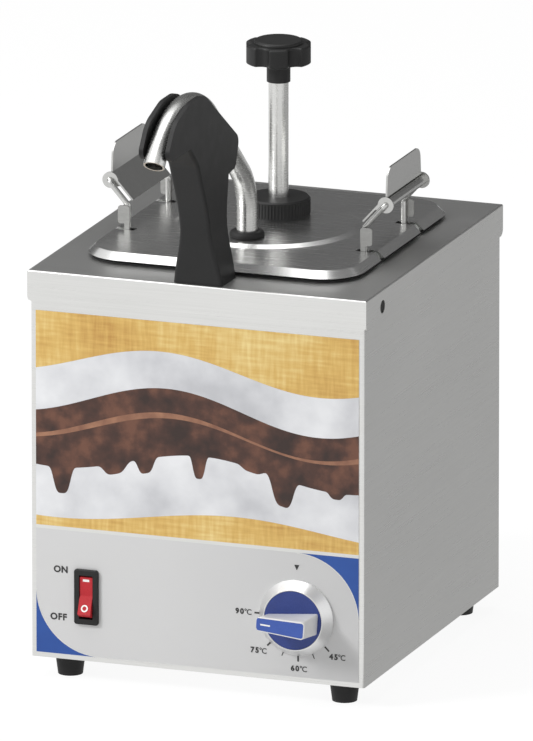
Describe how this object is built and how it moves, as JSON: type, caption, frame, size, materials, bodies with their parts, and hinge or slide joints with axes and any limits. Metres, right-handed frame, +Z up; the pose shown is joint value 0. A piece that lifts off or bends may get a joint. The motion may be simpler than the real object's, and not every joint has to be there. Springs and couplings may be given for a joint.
{
  "type": "heated sauce dispenser",
  "caption": "Counter-top heated sauce dispenser: boxy stainless casing with dial and rocker, pan lid with hand pump, bent spout on a black post and wire latches.",
  "frame": {"origin": "middle of the outline on the table top, under the feet", "axes": "+X to the right seen from the front, +Y towards the back, +Z up"},
  "size_m": [0.2, 0.3134, 0.3486],
  "materials": {
    "stainless_sheet": "fine straight brush lines",
    "polished_steel": "polished",
    "zinc_fasteners": "bright zinc",
    "black_screws": "black oxide",
    "printed_label": "printed film, semi-gloss",
    "black_plastic": "fine matt grain",
    "red_plastic": "gloss",
    "brass_terminals": "plain",
    "bright_plating": "satin plated",
    "blue_plastic": "satin",
    "white_plastic": "satin",
    "black_rubber": "matt",
    "clear_silicone": "satin",
    "wire_insulation": "satin"
  },
  "bodies": {
    "casing": {"casing_wrap": "stainless_sheet", "rear_panel": "stainless_sheet", "base_plate": "stainless_sheet", "top_cover": "stainless_sheet", "cover_screws": "black_screws", "cover_nuts": "zinc_fasteners", "feet": "black_rubber", "foot_screws": "zinc_fasteners", "foot_nuts": "zinc_fasteners", "rear_panel_screws": "zinc_fasteners", "front_label": "printed_label", "switch_housing": "black_plastic", "switch_terminals": "brass_terminals", "knob_bezel": "bright_plating", "thermostat_body": "black_plastic", "thermostat_screws": "zinc_fasteners", "sensor_bulb": "polished_steel", "bulb_clip": "stainless_sheet", "thermal_cutout": "black_plastic", "heating_well": "stainless_sheet", "heater_element": "polished_steel", "heater_clamp": "stainless_sheet", "clamp_studs": "polished_steel", "clamp_nuts": "zinc_fasteners", "terminal_block": "white_plastic", "block_screws": "zinc_fasteners", "cable_gland": "black_plastic", "gland_lock_nut": "black_plastic", "wiring": "wire_insulation", "spout_holder": "black_plastic", "holder_screws": "zinc_fasteners"},
    "thermostat_knob": {"knob_disc": "blue_plastic", "knob_grip": "bright_plating", "grip_insert": "blue_plastic", "thermostat_shaft": "zinc_fasteners"},
    "rocker": {"switch_rocker": "red_plastic"},
    "pan": {"sauce_pan": "stainless_sheet"},
    "lid_assembly": {"lid": "stainless_sheet", "lid_gasket": "clear_silicone", "right_latch_bracket": "polished_steel", "left_latch_bracket": "polished_steel", "lock_collar": "black_plastic", "pump_cylinder": "white_plastic", "pump_foot": "white_plastic", "valve_balls": "polished_steel", "discharge_tube": "polished_steel", "tube_grommet": "black_rubber", "return_spring": "polished_steel"},
    "plunger": {"plunger_rod": "polished_steel", "piston": "white_plastic", "piston_seal": "clear_silicone", "piston_nut": "zinc_fasteners", "pump_knob": "black_plastic"},
    "right_bail": {"right_latch_bail": "polished_steel"},
    "left_bail": {"left_latch_bail": "polished_steel"},
    "right_lever": {"right_latch_lever": "polished_steel"},
    "left_lever": {"left_latch_lever": "polished_steel"}
  },
  "joints": [
    {"name": "thermostat_turn", "type": "hinge", "parent": "casing", "child": "thermostat_knob", "pos_m": [0.0589, -0.08356, 0.0496], "axis": [0, -1, 0], "range_deg": [0, 270]},
    {"name": "rocker_tilt", "type": "hinge", "parent": "casing", "child": "rocker", "pos_m": [-0.0654, -0.08056, 0.0496], "axis": [1, 0, 0], "range_deg": [0, 22]},
    {"name": "pan_lift", "type": "slide", "parent": "casing", "child": "pan", "axis": [0, 0, 1], "range_m": [0, 0.02]},
    {"name": "lid_lift", "type": "slide", "parent": "pan", "child": "lid_assembly", "axis": [0, 0.4695, 0.8829], "range_m": [0, 0.06]},
    {"name": "plunger_stroke", "type": "slide", "parent": "lid_assembly", "child": "plunger", "axis": [0, 0, -1], "range_m": [0, 0.055], "stiffness_N_per_m": 200, "springref_m": -0.02, "deforming": ["return_spring"]},
    {"name": "right_bail_swing", "type": "hinge", "parent": "lid_assembly", "child": "right_bail", "pos_m": [0.07, 0.02824, 0.2386], "axis": [0, 1, 0], "range_deg": [0, 60]},
    {"name": "left_bail_swing", "type": "hinge", "parent": "lid_assembly", "child": "left_bail", "pos_m": [-0.07, 0.02824, 0.2386], "axis": [0, -1, 0], "range_deg": [0, 60]},
    {"name": "right_lever_swing", "type": "hinge", "parent": "right_bail", "child": "right_lever", "pos_m": [0.0816, 0.02824, 0.2679], "axis": [0, 1, 0], "range_deg": [0, 90]},
    {"name": "left_lever_swing", "type": "hinge", "parent": "left_bail", "child": "left_lever", "pos_m": [-0.0816, 0.02824, 0.2679], "axis": [0, -1, 0], "range_deg": [0, 90]}
  ]
}
